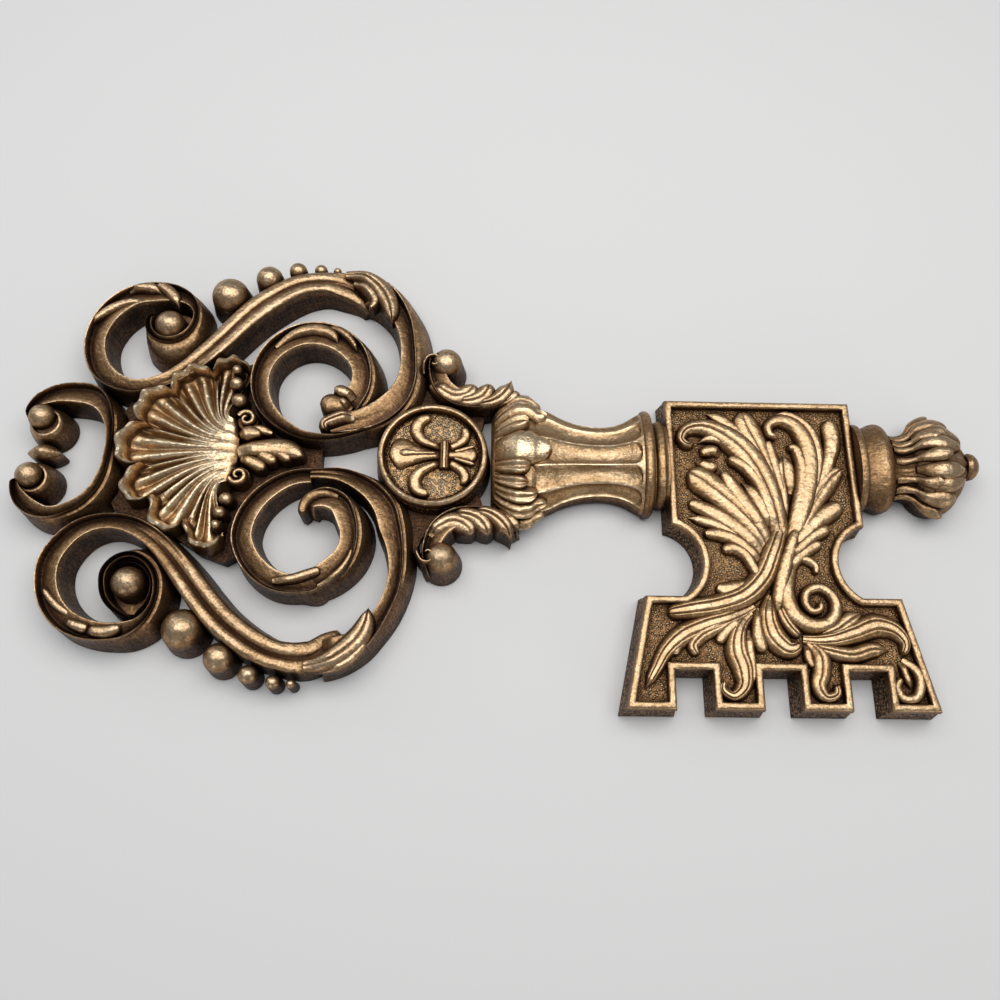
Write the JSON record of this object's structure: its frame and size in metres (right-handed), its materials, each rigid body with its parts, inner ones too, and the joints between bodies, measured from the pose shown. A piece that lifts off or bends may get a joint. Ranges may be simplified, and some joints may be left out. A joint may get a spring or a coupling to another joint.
{
  "type": "decorative skeleton key",
  "caption": "Large ornamental skeleton key wall plaque with a scrolled bow, shell, medallion, fluted shank, notched bit, bud finial and a swivel hanging ring in its flat back.",
  "frame": {"origin": "on the flat back, under the centre of the round medallion, on the key's long axis", "axes": "+X along the key's axis from bow to finial, +Y away from the bit's teeth, +Z out of the flat back towards the viewer"},
  "size_m": [0.4064, 0.2007, 0.0257],
  "materials": {
    "antique_bronze": "antiqued satin bronze, gold rubbed on the high places and dark in the recesses",
    "hanger_steel": "zinc-plated steel"
  },
  "bodies": {
    "key": {"astragal": "antique_bronze", "bit_border": "antique_bronze", "bit_leaves_foot": "antique_bronze", "bit_leaves_head": "antique_bronze", "bit_plate": "antique_bronze", "bit_volute": "antique_bronze", "capital": "antique_bronze", "capital_leaves": "antique_bronze", "collar": "antique_bronze", "crown_balls": "antique_bronze", "crown_scroll": "antique_bronze", "crown_spindle": "antique_bronze", "finial": "antique_bronze", "finial_leaves": "antique_bronze", "flange": "antique_bronze", "hanger_screws": "hanger_steel", "hanger_strap": "hanger_steel", "lily": "antique_bronze", "lily_band": "antique_bronze", "lower_beads": "antique_bronze", "lower_bow_web": "antique_bronze", "lower_crown_knob": "antique_bronze", "lower_curl_ball": "antique_bronze", "lower_curl_cup": "antique_bronze", "lower_curl_leaf": "antique_bronze", "lower_inner_bud": "antique_bronze", "lower_inner_scroll": "antique_bronze", "lower_outer_scroll": "antique_bronze", "lower_scroll_leaf": "antique_bronze", "lower_shell_beads": "antique_bronze", "lower_shell_volute": "antique_bronze", "lower_side_ball": "antique_bronze", "lower_side_leaf": "antique_bronze", "medallion_disc": "antique_bronze", "medallion_rim": "antique_bronze", "neck": "antique_bronze", "shank": "antique_bronze", "shell": "antique_bronze", "shell_tongue": "antique_bronze", "shell_web": "antique_bronze", "stem": "antique_bronze", "tip": "antique_bronze", "upper_beads": "antique_bronze", "upper_bow_web": "antique_bronze", "upper_crown_knob": "antique_bronze", "upper_curl_ball": "antique_bronze", "upper_curl_cup": "antique_bronze", "upper_curl_leaf": "antique_bronze", "upper_inner_bud": "antique_bronze", "upper_inner_scroll": "antique_bronze", "upper_outer_scroll": "antique_bronze", "upper_scroll_leaf": "antique_bronze", "upper_shell_beads": "antique_bronze", "upper_shell_volute": "antique_bronze", "upper_side_ball": "antique_bronze", "upper_side_leaf": "antique_bronze"},
    "ring": {"hanger_ring": "hanger_steel"}
  },
  "joints": [
    {"name": "hanging_ring", "type": "hinge", "parent": "key", "child": "ring", "pos_m": [-0.108, 0, 0.0025], "axis": [0, -1, 0], "range_deg": [0, 160]}
  ]
}
